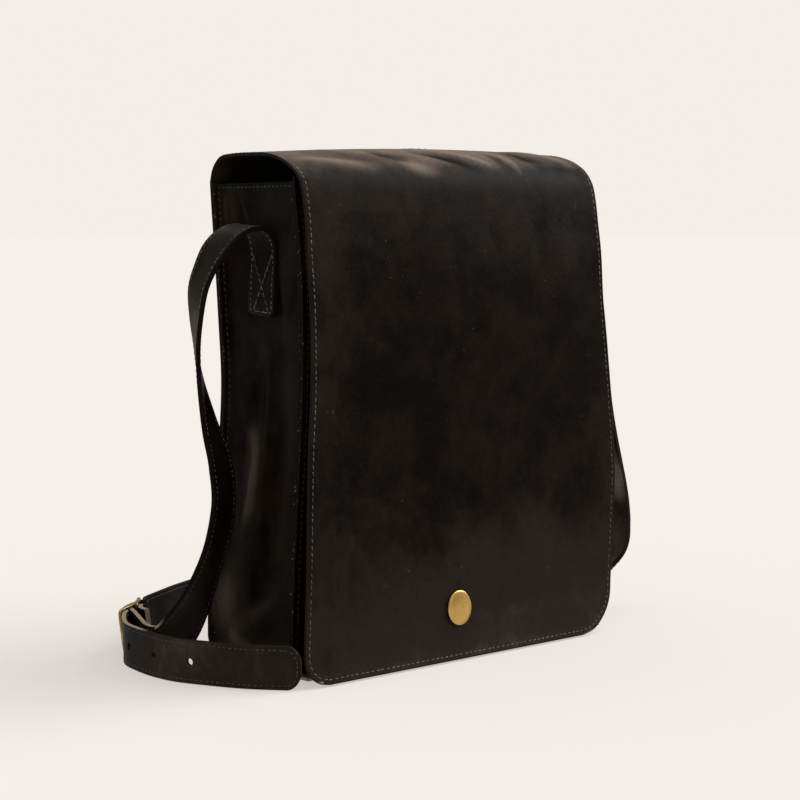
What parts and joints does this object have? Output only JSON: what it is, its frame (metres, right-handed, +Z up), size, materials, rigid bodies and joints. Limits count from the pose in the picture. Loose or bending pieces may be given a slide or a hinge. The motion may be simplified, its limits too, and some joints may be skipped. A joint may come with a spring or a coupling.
{
  "type": "leather crossbody bag",
  "caption": "Tall messenger bag of dark waxed leather with a long front flap, sewn sides and a buckled shoulder strap that lies round its foot.",
  "frame": {"origin": "on the floor under the middle of the bag's base", "axes": "+Z up, -Y out of the front of the flap, +X to the right as the front is seen"},
  "size_m": [0.4178, 0.2688, 0.3636],
  "materials": {
    "flap_leather": "waxed",
    "front_leather": "waxed",
    "gusset_leather": "waxed",
    "short_strap_leather": "waxed",
    "long_strap_leather": "waxed",
    "buckle_brass": "antique",
    "prong_brass": "antique",
    "plate_brass": "satin",
    "stud_brass": "satin"
  },
  "bodies": {
    "root": {"back_and_flap": "flap_leather", "front_panel": "front_leather", "gusset": "gusset_leather", "strap_buckle_end": "short_strap_leather", "strap_long_end": "long_strap_leather", "buckle_frame": "buckle_brass", "buckle_prong": "prong_brass", "closure_plate": "plate_brass", "closure_stud": "stud_brass"}
  },
  "joints": []
}
